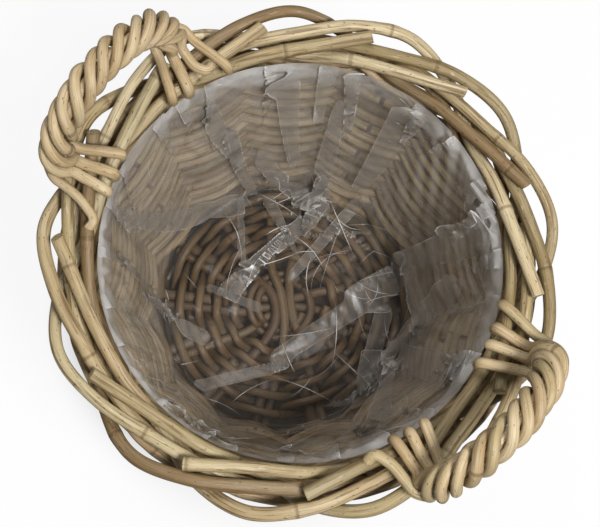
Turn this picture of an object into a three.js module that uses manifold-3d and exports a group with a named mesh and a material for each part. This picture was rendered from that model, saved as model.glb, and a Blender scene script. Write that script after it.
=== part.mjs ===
// A round rattan planter basket with two rope handles and a clear film liner.
// Millimetres, +Z up. The origin is on the floor under the middle of the basket, and the handles lie
// near the X axis. Every rod is a real rod of its own: it runs over and under its neighbours and never
// joins them.

import * as THREE from 'three';
import Module from 'manifold-3d';
import { ConvexHull } from 'three/addons/math/ConvexHull.js';
import { mergeVertices } from 'three/addons/utils/BufferGeometryUtils.js';

const wasm = await Module();
wasm.setup();

// Rods
const STAKES = 13;            // upright stakes, an odd number, so that one weaver can go over and under
const STAKE = 10;             // diameter of the stakes, whose tops are the border
const SPOKE = 8;              // diameter of the base sticks
const WEAVER = 8;             // diameter of the weavers in the base and the wall
const WALE = 9;               // diameter of the rods in the two three-rod bands
const STRAND = 9;             // diameter of the strands of a rope handle
const BOW = 9;                // diameter of the rod inside a rope handle
const CLEARANCE = 0.4;        // gap between two rods that lie on each other
const SIDES = 5;              // flat sides of a rod

// Basket
const FOOT_RADIUS = 132;      // stake line where the wall starts
const RIM_RADIUS = 186;       // stake line where the wall ends
const BASKET_HEIGHT = 300;    // top of the border
const BASE_CROWN = 4;         // how far the middle of the base stands up
const FOOT_BEND = 6;          // radius in which a stake turns up from the base
const FIRST_STAKE = 21.3 * Math.PI / 180;
const FLAT_DEPTH = 0.4;       // how deep the lowest rods are flattened where they stand
const BUTT_GAP = 3;           // gap between the ends of two rods that follow each other

// Base
const CROSS_REACH = 16;       // how far the base sticks lie side by side from the middle
const CROSS_GAP = 1.5;        // gap between two base sticks that lie side by side
const SPOKE_FAN = 38;         // radius from where the base sticks point straight out
const HALF_STICK_START = 34;  // radius where the odd half stick starts
const TAIL_START = 71;        // radius where the stakes start, beside the base sticks
const BASE_WEAVE_START = 42;  // radius where the base weavers start
const BASE_WEAVE_GAP = 0.8;   // least gap between two rounds of the base weavers

// Wall
const WALL_WEAVERS = 20;      // rods that follow each other in the wall's spiral

// Handles
const HANDLE_HEIGHT = 378;    // top of the rope
const HANDLE_LEAN = 12;       // how far the rope leans out
const HANDLE_FOOT_RADIUS = 205;
const HANDLE_FOOT_ANGLE = 19 * Math.PI / 180;
const RIGHT_HANDLE_TURN = -2.5 * Math.PI / 180; // the handles were put on by eye, a little off the X axis
const LEFT_HANDLE_TURN = 182 * Math.PI / 180;
const ROPE_TURNS = 3;         // left-handed turns of each strand
const ROPE_STEPS = 10;        // points in one turn
const ROPE_LIFT = 7;          // height of the rope's end over its tails
const HOOK_DEPTHS = [12, 20, 24, 15];
const INNER_SHOULDER = 12;    // how much further in the inner strands turn down from the rope

// Liner
const FILM = 0.8;             // the film and its small folds, as one wall
const FILM_FACETS = 3 * STAKES;
const FILM_CORNER = 11;       // how far from the wall the film starts to rise from the base
const CREASES = 120;          // corners of the facets between the folds
const CREASE_LIFT = 5;        // how far such a corner may stand off the wall
const CREASE_GAP = 13;        // least distance between such a corner and any other
const FOLD_STEP = 26;         // distance between the points of a fold, on the flat film
const FOLD_HALF = 13;         // half the width of a fold at its foot
const FREE_SPACES = [[83, 33], [105, 190]]; // half the width and the floor of what stays free inside

// The folds that the spare film lies in. Each has two ends and a height. An end is a turn in degrees and
// a share of the film's way from the middle of the base up to the border.
const FOLDS = [
  [[135, 0.92], [125, 0.5], 12],
  [[116, 0.84], [110, 0.27], 12],
  [[95, 0.95], [98, 0.47], 16],
  [[161, 0.89], [148, 0.48], 10],
  [[144, 0.57], [115, 0.33], 14],
  [[206, 0.92], [139, 0.33], 14],
  [[108, 0.25], [218, 0.22], 10],
  [[94, 0.41], [132, 0.08], 8],
  [[61, 0.43], [-71, 0.2], 12],
  [[51, 0.96], [64, 0.4], 18],
  [[59, 0.42], [28, 0.53], 12],
  [[41, 0.75], [-10, 0.31], 16],
  [[7, 0.95], [18, 0.41], 12],
  [[-15, 0.32], [45, 0.34], 10],
  [[-97, 0.3], [-35, 0.19], 8],
  [[-139, 0.39], [-109, 0.26], 10],
  [[-71, 0.75], [-7, 0.52], 12],
  [[-145, 0.86], [-128, 0.33], 10],
];

const rattan = new THREE.MeshStandardMaterial({ color: 0xa8946b, roughness: 0.62, metalness: 0 });
const rattanGolden = new THREE.MeshStandardMaterial({ color: 0xb8965a, roughness: 0.6, metalness: 0 });
const rattanGrey = new THREE.MeshStandardMaterial({ color: 0x8a7a5e, roughness: 0.72, metalness: 0 });
const film = new THREE.MeshStandardMaterial({
  color: 0xdfe2e4,
  roughness: 0.25,
  metalness: 0,
  transparent: true,
  opacity: 0.35,
});

// Lengths that follow from the driving ones
const stakeStep = 2 * Math.PI / STAKES;
const borderPitch = STAKE + CLEARANCE;
const walePitch = WALE + CLEARANCE;
const overStake = STAKE / 2 + WEAVER / 2 + CLEARANCE;
const overSpoke = SPOKE / 2 + WEAVER / 2 + CLEARANCE;
const overStakeWale = STAKE / 2 + WALE / 2 + CLEARANCE;
const besideTail = STAKE / 2 + SPOKE / 2 + CLEARANCE;
const spokeEnd = FOOT_RADIUS - overStake - WEAVER / 2 - CLEARANCE;
const baseWeaveEnd = FOOT_RADIUS - overStakeWale - WALE / 2 - CLEARANCE - WEAVER / 2;
const baseWeaveTurns = Math.floor((baseWeaveEnd - BASE_WEAVE_START) / (WEAVER + BASE_WEAVE_GAP));
const baseWeavePitch = (baseWeaveEnd - BASE_WEAVE_START) / baseWeaveTurns;

// One stake's way through the border. Each row is the number of stakes that it has passed, the ranks
// out from the stake line and the ranks up from the lowest rank. It bends down, goes behind one stake,
// out round the next, under and in again, up the inside, and ends on top.
const BORDER_ROWS = [
  [0, 0, 0.15],
  [0.07, 0, 0.55],
  [0.2, 0, 0.85],
  [0.4, -0.1, 1.05],
  [1, 0.2, 1.6],
  [1.5, 1.25, 2],
  [2, 2.1, 1.2],
  [2.5, 0.9, 0],
  [3, -1.1, 0],
  [3.5, -1.35, 1],
  [4, -1.25, 2],
  [4.65, 0.5, 2.6],
];
const borderTopRank = Math.max(...BORDER_ROWS.map((row) => row[2]));

const standHeight = WALE / 2 * Math.cos(Math.PI / SIDES) - FLAT_DEPTH;
const baseEdge = standHeight + overStakeWale;
const borderFloor = BASKET_HEIGHT - STAKE / 2 - borderTopRank * borderPitch;
const wallTop = borderFloor - STAKE / 2 - CLEARANCE;
const borderStart = borderFloor + BORDER_ROWS[0][2] * borderPitch;
const wallLean = Math.atan2(RIM_RADIUS - FOOT_RADIUS, borderStart - baseEdge);

function stakeAngle(index) {
  return FIRST_STAKE - index * stakeStep;
}

// The stake line of the wall at a height, moved square to the wall by an offset.
function wallRadius(height, offset = 0) {
  return FOOT_RADIUS + (height - baseEdge) * Math.tan(wallLean) + offset / Math.cos(wallLean);
}

function baseHeight(radius) {
  return baseEdge + BASE_CROWN * (1 - (radius / FOOT_RADIUS) ** 2);
}

// A point at an angle: so far out along it, so far to its left, and so high.
function polar(angle, out, height, left = 0) {
  const x = out * Math.cos(angle) - left * Math.sin(angle);
  const y = out * Math.sin(angle) + left * Math.cos(angle);
  return new THREE.Vector3(x, y, height);
}

// A curve through a list of points with a mitred corner at each, so that an extrusion along it puts
// one section at every point.
class Route extends THREE.Curve {
  constructor(points) {
    super();
    this.points = points;
  }

  getUtoTmapping(u) {
    return u;
  }

  getPoint(t, target = new THREE.Vector3()) {
    const place = t * (this.points.length - 1);
    const index = Math.min(Math.floor(place + 1e-9), this.points.length - 2);
    return target.lerpVectors(this.points[index], this.points[index + 1], place - index);
  }

  getTangent(t, target = new THREE.Vector3()) {
    const last = this.points.length - 1;
    const index = Math.round(t * last);
    const before = this.direction(Math.max(index - 1, 0));
    const after = this.direction(Math.min(index, last - 1));
    return target.addVectors(before, after).normalize();
  }

  direction(index) {
    return this.points[index + 1].clone().sub(this.points[index]).normalize();
  }
}

function piece(name, geometry, material) {
  const mesh = new THREE.Mesh(geometry, material);
  mesh.name = name;
  return mesh;
}

// A regular section with a flat side towards +x, which an extrusion along the floor turns down.
function roundSection(diameter) {
  const corners = [];
  for (let k = 0; k < SIDES; k += 1) {
    const angle = (k + 0.5) * 2 * Math.PI / SIDES;
    corners.push(new THREE.Vector2(Math.cos(angle), Math.sin(angle)).multiplyScalar(diameter / 2));
  }
  return new THREE.Shape(corners);
}

function rodGeometry(points, diameter) {
  return new THREE.ExtrudeGeometry(roundSection(diameter), {
    steps: points.length - 1,
    extrudePath: new Route(points),
    bevelEnabled: false,
  });
}

function rod(name, points, diameter, material) {
  return piece(name, rodGeometry(points, diameter), material);
}

// Points on a smooth curve through knots, so many for each stretch between two knots.
function smooth(knots, perStretch) {
  const curve = new THREE.CatmullRomCurve3(knots, false, 'catmullrom', 0.5);
  return curve.getPoints((knots.length - 1) * perStretch);
}

// The round bend that replaces the corner between two straight stretches.
function bend(before, corner, after, radius, steps) {
  const back = before.clone().sub(corner).normalize();
  const ahead = after.clone().sub(corner).normalize();
  const half = back.angleTo(ahead) / 2;
  const trim = radius / Math.tan(half);
  const middle = back.clone().add(ahead).normalize().multiplyScalar(radius / Math.sin(half)).add(corner);
  const first = corner.clone().addScaledVector(back, trim).sub(middle);
  const axis = new THREE.Vector3().crossVectors(back, ahead).normalize();
  const points = [];
  for (let k = 0; k <= steps; k += 1) {
    const turn = -(Math.PI - 2 * half) * k / steps;
    points.push(first.clone().applyAxisAngle(axis, turn).add(middle));
  }
  return points;
}

// Stakes and border

function borderPoints(index, perStretch) {
  const rows = BORDER_ROWS.map((row) => new THREE.Vector3(...row));
  return smooth(rows, perStretch).map(({ x: passed, y: ranksOut, z: ranksUp }) => polar(
    stakeAngle(index + passed),
    RIM_RADIUS + ranksOut * borderPitch,
    borderFloor + ranksUp * borderPitch,
  ));
}

function stake(index) {
  const angle = stakeAngle(index);
  const tailRadii = [TAIL_START, (TAIL_START + FOOT_RADIUS) / 2];
  const tail = tailRadii.map((out) => polar(angle, out, baseHeight(out)));
  const corner = polar(angle, FOOT_RADIUS, baseEdge);
  const border = borderPoints(index, 2);
  const foot = bend(tail[1], corner, border[0], FOOT_BEND, 3);
  const name = `stake_${String(index + 1).padStart(2, '0')}`;
  return rod(name, [...tail, ...foot, ...border], STAKE, rattan);
}

// Base sticks, which cross in the middle in two layers of three, and a half stick for the odd stake

const CROSS_LAYERS = [
  { layer: -1, pairs: [[1, 5], [0, 6], [12, 7]] },
  { layer: 1, pairs: [[2, 10], [3, 9], [4, 8]] },
];
const HALF_STICK_STAKE = 11;

function spokePoint(index, out) {
  return polar(stakeAngle(index), out, baseHeight(out), besideTail);
}

function baseSticks() {
  const sticks = [];
  for (const { layer, pairs } of CROSS_LAYERS) {
    const [near, far] = pairs[1].map((index) => spokePoint(index, SPOKE_FAN));
    const axis = near.clone().sub(far).normalize();
    const across = new THREE.Vector3(0, 0, 1).cross(axis);
    pairs.forEach(([start, end], rank) => {
      const middle = across.clone().multiplyScalar((1 - rank) * (SPOKE + CROSS_GAP));
      if (middle.dot(spokePoint(start, SPOKE_FAN)) < 0) {
        middle.negate();
      }
      middle.z = baseHeight(0) + layer * (SPOKE + CLEARANCE) / 2;
      const points = [
        spokePoint(start, spokeEnd),
        spokePoint(start, SPOKE_FAN),
        middle.clone().addScaledVector(axis, CROSS_REACH),
        middle.clone().addScaledVector(axis, -CROSS_REACH),
        spokePoint(end, SPOKE_FAN),
        spokePoint(end, spokeEnd),
      ];
      sticks.push(rod(`base_stick_${sticks.length + 1}`, points, SPOKE, rattanGrey));
    });
  }
  const halfStick = [HALF_STICK_START, spokeEnd].map((out) => spokePoint(HALF_STICK_STAKE, out));
  sticks.push(rod('base_half_stick', halfStick, SPOKE, rattanGrey));
  return sticks;
}

// Weavers of the base: a flat spiral that goes over and under the sticks by turns, single sticks near
// the middle and sticks with a stake's tail beside them further out

function baseWeaverPoints(first, last) {
  const points = [];
  for (let n = first; n <= last; n += 1) {
    const out = BASE_WEAVE_START + baseWeavePitch * n / STAKES;
    const paired = out > TAIL_START - WEAVER / 2 - CLEARANCE;
    const rise = (paired ? overStake : overSpoke) * (n % 2 === 0 ? 1 : -1);
    const left = besideTail + SPOKE / 2;
    const right = paired ? -STAKE / 2 : besideTail - SPOKE / 2;
    for (const side of [left, right]) {
      points.push(polar(stakeAngle(n), out, baseHeight(out) + rise, side));
    }
  }
  return points;
}

function baseWeavers() {
  const last = baseWeaveTurns * STAKES;
  const middle = 2 * Math.round(last * 0.3) + 1;
  const inner = baseWeaverPoints(0, middle);
  const outer = baseWeaverPoints(middle, last);
  inner.pop();
  outer.shift();
  outer.unshift(inner.at(-1).clone().lerp(outer[0], 0.5));
  return [
    rod('base_weaver_1', inner, WEAVER, rattanGrey),
    rod('base_weaver_2', outer, WEAVER, rattanGrey),
  ];
}

// Three-rod bands. Each rod passes two stakes on one side and one on the other, a stake behind the rod
// before it, so the three rods wind round each other. A row is the stake passed, the height and the
// distance out from the stake line. A pass outside a stake has two points.

function waleRods(name, rows, startRow, toPoint, finish) {
  const rods = [];
  const period = 3;
  for (let k = 0; k < period; k += 1) {
    const steps = period * Math.ceil((STAKES - k) / period);
    const start = rows[startRow][0];
    const points = [];
    for (let lap = 0; lap * period <= steps + start; lap += 1) {
      for (const [passed, ...place] of rows) {
        const travelled = passed + lap * period;
        if (travelled >= start && travelled <= start + steps) {
          points.push(toPoint(k + travelled - start, ...place));
        }
      }
    }
    const trim = BUTT_GAP / 2;
    points[0] = towards(points[0], points[1], trim);
    points.push(towards(points.pop(), points.at(-1), trim));
    rods.push(finish(`${name}_${k + 1}`, points));
  }
  return rods;
}

function towards(from, to, distance) {
  return from.clone().lerp(to, distance / from.distanceTo(to));
}

// The band round the foot, under and outside the bends of the stakes. The basket stands on it.
function upsettRods() {
  const near = 0.06;
  const under = [1.5, standHeight];
  const outside = [overStakeWale, baseEdge + 1];
  const inside = [-overStakeWale, baseHeight(FOOT_RADIUS - 1.5 * overStakeWale) + overStakeWale];
  const rows = [
    [0, ...under],
    [near, ...under],
    [0.5, overStakeWale * 0.7, standHeight + 4],
    [1 - near, ...outside],
    [1 + near, ...outside],
    [1.5, 1, baseEdge + overStakeWale * 0.75],
    [2, ...inside],
    [2.5, -overStakeWale * 0.5, baseEdge - 1.4],
    [3 - near, ...under],
  ];
  const toPoint = (passed, offset, height) => polar(stakeAngle(passed), FOOT_RADIUS + offset, height);
  return waleRods('upsett_rod', rows, 0, toPoint, (name, points) => {
    return piece(name, cutFlat(rodGeometry(points, WALE)), rattanGrey);
  });
}

// Cuts a rod off at the floor, so that it stands on flat places.
function cutFlat(geometry) {
  const block = new THREE.BoxGeometry(4 * RIM_RADIUS, 4 * RIM_RADIUS, BASKET_HEIGHT);
  block.translate(0, 0, -BASKET_HEIGHT / 2);
  return fromSolid(toSolid(geometry).subtract(toSolid(block)));
}

function toSolid(geometry) {
  const bare = geometry.clone();
  bare.deleteAttribute('normal');
  bare.deleteAttribute('uv');
  const merged = mergeVertices(bare, 1e-4);
  return new wasm.Manifold(new wasm.Mesh({
    numProp: 3,
    vertProperties: new Float32Array(merged.attributes.position.array),
    triVerts: new Uint32Array(merged.index.array),
  }));
}

function fromSolid(solid) {
  const { vertProperties, triVerts } = solid.getMesh();
  const geometry = new THREE.BufferGeometry();
  geometry.setAttribute('position', new THREE.BufferAttribute(vertProperties, 3));
  geometry.setIndex(new THREE.BufferAttribute(triVerts, 1));
  return geometry;
}

// The band that closes the wall under the border
function topWaleRods() {
  const near = 0.045;
  const floor = wallTop - 1.3 * walePitch - WALE / 2;
  const face = overStakeWale / walePitch;
  const rows = [
    [0 - near, face, 0],
    [0 + near, face, 0],
    [0.5, face + 0.2, 0.5],
    [1 - near, face, 1],
    [1 + near, face, 1],
    [1.5, 0.1, 1.3],
    [2, -face, 0.5],
    [2.5, 0, -0.1],
  ];
  const toPoint = (passed, ranksOut, ranksUp) => {
    const height = floor + ranksUp * walePitch;
    return polar(stakeAngle(passed), wallRadius(height, ranksOut * walePitch), height);
  };
  return waleRods('top_wale_rod', rows, 6, toPoint, (name, points) => rod(name, points, WALE, rattan));
}

// Wall weavers: one rising spiral in front of one stake and behind the next. It is worked with several
// weavers, each of which ends behind a stake, where the next one starts.

const wallWeaveStart = baseEdge + overStakeWale + WALE / 2 + CLEARANCE + WEAVER / 2;
const wallWeaveEnd = wallTop - 1.4 * walePitch - WALE - CLEARANCE - WEAVER / 2;
const wallTurns = Math.floor((wallWeaveEnd - wallWeaveStart) / (WEAVER + CLEARANCE));
const wallPitch = (wallWeaveEnd - wallWeaveStart) / wallTurns;

function wallWeaverPoints(first, last) {
  const points = [];
  for (let n = first; n <= last; n += 1) {
    const outside = n % 2 === 1;
    const nears = outside ? [-STAKE / 2, STAKE / 2] : [0];
    for (const along of nears) {
      const height = wallWeaveStart + wallPitch * n / STAKES;
      const radius = wallRadius(height, outside ? overStake : -overStake);
      points.push(polar(stakeAngle(n), radius, height, -along));
    }
  }
  return points;
}

function wallWeavers() {
  const passes = wallTurns * STAKES;
  const weavers = [];
  for (let k = 0; k < WALL_WEAVERS; k += 1) {
    const [first, last] = [k, k + 1].map((end) => 2 * Math.round(passes * end / WALL_WEAVERS / 2));
    const points = wallWeaverPoints(first, last);
    const trim = BUTT_GAP / 2;
    points[0] = towards(points[0], points[1], trim);
    points.push(towards(points.pop(), points.at(-1), trim));
    weavers.push(rod(`side_weaver_${k + 1}`, points, WEAVER, rattan));
  }
  return weavers;
}

// Handles: four strands wound left-handed round a bow. At each foot the strands lie over the border,
// side by side, and hook down inside it.

const ropeRadius = (BOW / 2 + STRAND / 2 + CLEARANCE) / Math.cos(Math.PI / ROPE_STEPS);
const lane = (STRAND + CLEARANCE) / 2;
const laneReach = (3 * lane + STRAND / 2) / RIM_RADIUS;

// The highest and the innermost middle line of the border rods within reach of a handle's foot
function borderNear(angle) {
  let top = 0;
  let inner = RIM_RADIUS;
  for (let index = 0; index < STAKES; index += 1) {
    for (const point of borderPoints(index, 10)) {
      const away = Math.atan2(point.y, point.x) - angle;
      if (Math.cos(away) > Math.cos(laneReach)) {
        top = Math.max(top, point.z);
        inner = Math.min(inner, Math.hypot(point.x, point.y));
      }
    }
  }
  return { top, inner };
}

// The middle line of a handle: a half ellipse from foot to foot, in a plane that leans out.
class Arch extends THREE.Curve {
  constructor(ropeEnd) {
    super();
    this.foot = polar(HANDLE_FOOT_ANGLE, HANDLE_FOOT_RADIUS, ropeEnd);
    this.up = new THREE.Vector3(HANDLE_LEAN, 0, HANDLE_HEIGHT - ropeRadius - STRAND / 2 - ropeEnd);
    this.along = new THREE.Vector3(0, 1, 0);
    this.outward = new THREE.Vector3().crossVectors(this.along, this.up).normalize();
  }

  getPoint(share, target = new THREE.Vector3()) {
    const angle = Math.PI * share;
    target.set(this.foot.x, 0, this.foot.z);
    return target
      .addScaledVector(this.up, Math.sin(angle))
      .addScaledVector(this.along, -this.foot.y * Math.cos(angle));
  }
}

// A strand's place on its way round the bow, where share is the share of the arch's length.
function ropePoint(arch, share, phase) {
  const away = new THREE.Vector3().crossVectors(arch.outward, arch.getTangentAt(share));
  const turn = phase - 2 * Math.PI * ROPE_TURNS * share;
  return arch.getPointAt(share)
    .addScaledVector(away, ropeRadius * Math.cos(turn))
    .addScaledVector(arch.outward, ropeRadius * Math.sin(turn));
}

// The way of one strand from the rope's end to its cut end, at the foot on one side of the handle.
function tailPoints(turn, side, phase, hookDepth, ropeEnds) {
  const footAngle = side * HANDLE_FOOT_ANGLE;
  const { top, inner } = borderNear(turn + footAngle);
  const tail = top + STAKE / 2 + CLEARANCE + STRAND / 2;
  const hook = inner - STAKE / 2 - CLEARANCE - STRAND / 2;
  const outer = Math.sin(phase) > 0;
  const left = side * Math.sign(Math.cos(phase)) * (outer ? 3 : 1) * lane;
  const shoulder = outer ? 0 : -INNER_SHOULDER;
  const knots = [
    polar(footAngle, HANDLE_FOOT_RADIUS + shoulder, tail + ROPE_LIFT * 0.4, left),
    polar(footAngle, HANDLE_FOOT_RADIUS + shoulder - 9, tail, left),
    polar(footAngle, hook + STRAND, tail, left),
    polar(footAngle, hook, tail - STRAND * 0.6, left),
    polar(footAngle, hook, tail - STRAND * 0.6 - hookDepth, left),
  ];
  return smooth([...ropeEnds, ...knots], 2).slice(2 * (ropeEnds.length - 1) + 1);
}

function handle(side, turn) {
  const tops = [-1, 1].map((foot) => borderNear(turn + foot * HANDLE_FOOT_ANGLE).top);
  const tail = Math.max(...tops) + STAKE / 2 + CLEARANCE + STRAND / 2;
  const arch = new Arch(tail + ROPE_LIFT);
  const steps = ROPE_TURNS * ROPE_STEPS;
  const group = new THREE.Group();
  group.rotation.z = turn;

  const bowSteps = 2 * ROPE_STEPS;
  const bow = [];
  for (let k = 0; k <= bowSteps; k += 1) {
    bow.push(arch.getPointAt(k / bowSteps));
  }
  group.add(rod(`handle_${side}_bow`, bow, BOW, rattanGolden));

  for (let k = 0; k < 4; k += 1) {
    const phase = Math.PI / 4 + k * Math.PI / 2;
    const rope = [];
    for (let n = 0; n <= steps; n += 1) {
      rope.push(ropePoint(arch, n / steps, phase));
    }
    const depth = HOOK_DEPTHS[k];
    const before = tailPoints(turn, -1, phase, depth, [rope[1], rope[0]]);
    const after = tailPoints(turn, 1, phase, depth, [rope.at(-2), rope.at(-1)]);
    const points = [...before.reverse(), ...rope, ...after];
    group.add(rod(`handle_${side}_strand_${k + 1}`, points, STRAND, rattanGolden));
  }
  return group;
}

// Film liner: a clear bag tucked under the border, which lines the floor and the wall. It was flat
// before it was put in, so its folds and facets are laid out on a flat disc, whose radius is the film's
// way from the middle of the base up to the border.

const insideWall = -(overStakeWale + WALE / 2 + CLEARANCE);
const overBase = overStake + WEAVER / 2 + CLEARANCE;
const filmCorner = wallWeaveStart - WEAVER / 2;
const cornerOut = wallRadius(filmCorner, insideWall);
const filmFloor = [0, 1, 2, 3].map((step) => (cornerOut - FILM_CORNER) * step / 3);
const filmSection = [
  ...filmFloor.map((out) => new THREE.Vector2(out, baseHeight(out) + overBase)),
  new THREE.Vector2(cornerOut, filmCorner + CLEARANCE),
  new THREE.Vector2(wallRadius(wallTop, insideWall), wallTop),
];
const filmWays = filmSection.map((_, index) => {
  let way = 0;
  for (let k = 1; k <= index; k += 1) {
    way += filmSection[k].distanceTo(filmSection[k - 1]);
  }
  return way;
});
const filmReach = filmWays.at(-1);

// From a place on the flat disc to the basket. The lift is up over the base, inwards on the wall, and
// turns from one to the other round the corner.
function filmPoint(place, lift) {
  const way = Math.min(place.length(), filmReach);
  const stretch = Math.min(filmWays.findLastIndex((start) => start <= way), filmWays.length - 2);
  const share = (way - filmWays[stretch]) / (filmWays[stretch + 1] - filmWays[stretch]);
  const { x: out, y: height } = filmSection[stretch].clone().lerp(filmSection[stretch + 1], share);
  const tilt = THREE.MathUtils.clamp((way - filmFloor[2]) / filmFloor[2], 0, 1) * Math.PI / 2;
  return polar(place.angle(), out - lift * Math.sin(tilt), height + lift * Math.cos(tilt));
}

function discPlace(turn, way) {
  return new THREE.Vector2(Math.cos(turn), Math.sin(turn)).multiplyScalar(way);
}

// The corners of all facets: rings at the border and round the base, then the folds, then the rest. A
// corner is left out where it would lie too near to one that is there already.
function filmCorners() {
  const corners = [];
  const add = (place, lift, gap) => {
    const point = filmPoint(place, 0);
    if (corners.every((other) => other.point.distanceTo(point) > gap)) {
      corners.push({ place, lift, point });
    }
  };
  for (const way of [filmReach, filmWays.at(-2)]) {
    for (let k = 0; k < FILM_FACETS; k += 1) {
      add(discPlace(2 * Math.PI * k / FILM_FACETS, way), 0, 0);
    }
  }
  for (const [start, end, height] of FOLDS) {
    const [from, to] = [start, end].map(([turn, share]) => {
      return discPlace(THREE.MathUtils.degToRad(turn), share * filmReach);
    });
    const steps = Math.ceil(from.distanceTo(to) / FOLD_STEP);
    for (let k = 0; k <= steps; k += 1) {
      add(from.clone().lerp(to, k / steps), height * Math.sin(Math.PI * k / steps), FOLD_HALF / 3);
    }
    const across = to.clone().sub(from).rotateAround(new THREE.Vector2(), Math.PI / 2).setLength(FOLD_HALF);
    for (let k = 0; k < steps; k += 1) {
      for (const side of [-1, 1]) {
        const ridge = from.clone().lerp(to, (k + 0.5) / steps);
        const foot = ridge.clone().addScaledVector(across, side);
        const width = filmPoint(ridge, 0).distanceTo(filmPoint(foot, 0));
        add(ridge.addScaledVector(across, side * FOLD_HALF / width), 0, FOLD_HALF / 2);
      }
    }
  }
  const golden = Math.PI * (3 - Math.sqrt(5));
  for (let n = 0.5; n < CREASES; n += 1) {
    const place = discPlace(n * golden, filmReach * Math.sqrt(n / CREASES));
    add(place, CREASE_LIFT * ((n * Math.SQRT2) % 1), CREASE_GAP);
  }
  return corners;
}

// The facets between corners, each so that the circle through its three corners on the disc holds no
// other corner. Those are the lower faces of a hull round the corners once each has been lifted by the
// square of its distance from the middle.
function facetsBetween(corners) {
  const lifted = corners.map(({ place }) => {
    const { x, y } = place.clone().divideScalar(filmReach);
    return new THREE.Vector3(x, y, x * x + y * y);
  });
  const hull = new ConvexHull().setFromPoints(lifted);
  const lower = hull.faces.filter((face) => face.normal.z < 0);
  return lower.map(({ edge }) => {
    return [edge, edge.next, edge.prev].map(({ vertex }) => lifted.indexOf(vertex.point));
  });
}

// Whether a facet with its three corners in space reaches into what stays free inside
function reachesIn([a, b, c]) {
  const steps = 8;
  for (let i = 0; i <= steps; i += 1) {
    for (let j = 0; j <= steps - i; j += 1) {
      const point = a.clone().multiplyScalar(i / steps);
      point.addScaledVector(b, j / steps).addScaledVector(c, 1 - (i + j) / steps);
      const half = Math.max(Math.abs(point.x), Math.abs(point.y));
      if (FREE_SPACES.some(([free, floor]) => half < free + 1 && point.z > floor - 1)) {
        return true;
      }
    }
  }
  return false;
}

// Presses the film back towards the wall wherever a facet reaches into what stays free.
function pressBack(corners, facets) {
  for (const facet of facets) {
    const own = facet.map((index) => corners[index]);
    const inside = () => own.map(({ place, lift }) => filmPoint(place, lift + FILM));
    while (own.some(({ lift }) => lift > 0) && reachesIn(inside())) {
      for (const corner of own) {
        corner.lift = corner.lift > 0.2 ? corner.lift * 0.85 : 0;
      }
    }
  }
}

function liner() {
  const corners = filmCorners();
  const facets = facetsBetween(corners);
  for (let pass = 0; pass < 3; pass += 1) {
    pressBack(corners, facets);
  }
  const points = [0, FILM].flatMap((wall) => {
    return corners.map(({ place, lift }) => filmPoint(place, lift + wall));
  });
  const inner = corners.length;
  const faces = facets.flatMap(([a, b, c]) => [[a, b, c], [inner + a, inner + c, inner + b]]);
  for (let k = 0; k < FILM_FACETS; k += 1) {
    const next = (k + 1) % FILM_FACETS;
    faces.push([k, next, inner + next], [k, inner + next, inner + k]);
  }
  const geometry = new THREE.BufferGeometry().setFromPoints(points);
  geometry.setIndex(faces.flat());
  return piece('film_liner', geometry, film);
}

// The whole basket

const basket = new THREE.Group();
for (let index = 0; index < STAKES; index += 1) {
  basket.add(stake(index));
}
basket.add(...baseSticks(), ...baseWeavers(), ...upsettRods(), ...wallWeavers(), ...topWaleRods());
basket.add(handle('right', RIGHT_HANDLE_TURN), handle('left', LEFT_HANDLE_TURN), liner());

export default basket;
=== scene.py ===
# %% [markdown]
# # A rattan basket with rope handles and a film liner
# A basket is all rods. Each one is a tube carried along a curve, and what makes it a basket is the
# curve: over one neighbour, under the next. So this lesson works out the curves with a few formulas,
# puts one kind of tube round them all, and spends the rest on what makes rattan look like rattan:
# its knuckles, its grain and its pale cut ends. The clear liner comes last.

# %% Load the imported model, which fixes every size and place
import math

import bpy
import numpy as np
from mathutils import Matrix


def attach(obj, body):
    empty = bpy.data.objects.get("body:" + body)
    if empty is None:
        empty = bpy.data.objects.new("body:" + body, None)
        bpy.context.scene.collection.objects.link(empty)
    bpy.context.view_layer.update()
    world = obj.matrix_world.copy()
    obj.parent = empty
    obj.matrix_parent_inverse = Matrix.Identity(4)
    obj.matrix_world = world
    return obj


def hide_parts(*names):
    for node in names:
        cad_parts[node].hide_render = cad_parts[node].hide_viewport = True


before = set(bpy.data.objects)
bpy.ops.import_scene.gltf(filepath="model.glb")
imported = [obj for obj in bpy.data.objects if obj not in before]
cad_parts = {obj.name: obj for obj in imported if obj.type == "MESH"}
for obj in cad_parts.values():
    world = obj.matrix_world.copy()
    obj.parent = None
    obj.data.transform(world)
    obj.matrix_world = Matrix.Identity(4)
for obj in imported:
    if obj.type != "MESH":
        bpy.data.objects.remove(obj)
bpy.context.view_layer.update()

# %% [markdown]
# ## Camera
# The basket was photographed from almost straight above. The further end of a deep round thing looks
# smaller, and its middle moves towards the camera's side, so the place of the base inside the rim says
# how far the camera leans, and how large it looks says how near the camera is. The picture is also
# turned a little about the line of sight, which is the roll.

# %% The camera, from the scale of the picture at the rim
image_width = 600
rim_middle = np.array([0.0, 0.0, 0.300])
pixels_per_metre = 1261
camera_distance = 1.10
camera_side = math.radians(-71.7)
camera_height_angle = math.radians(78.6)
image_right = math.radians(41.4)
aim_shift = (-0.0037, -0.0088)


def unit(vector):
    """A vector or an array of vectors, each scaled to a length of one."""
    return vector / np.linalg.norm(vector, axis=-1, keepdims=True)


towards_camera = np.array([
    math.cos(camera_height_angle) * math.cos(camera_side),
    math.cos(camera_height_angle) * math.sin(camera_side),
    math.sin(camera_height_angle),
])
flat_right = np.array([math.cos(image_right), math.sin(image_right), 0.0])
right = unit(flat_right - towards_camera * (flat_right @ towards_camera))
up = np.cross(towards_camera, right)
eye = rim_middle + right * aim_shift[0] + up * aim_shift[1] + towards_camera * camera_distance


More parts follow.
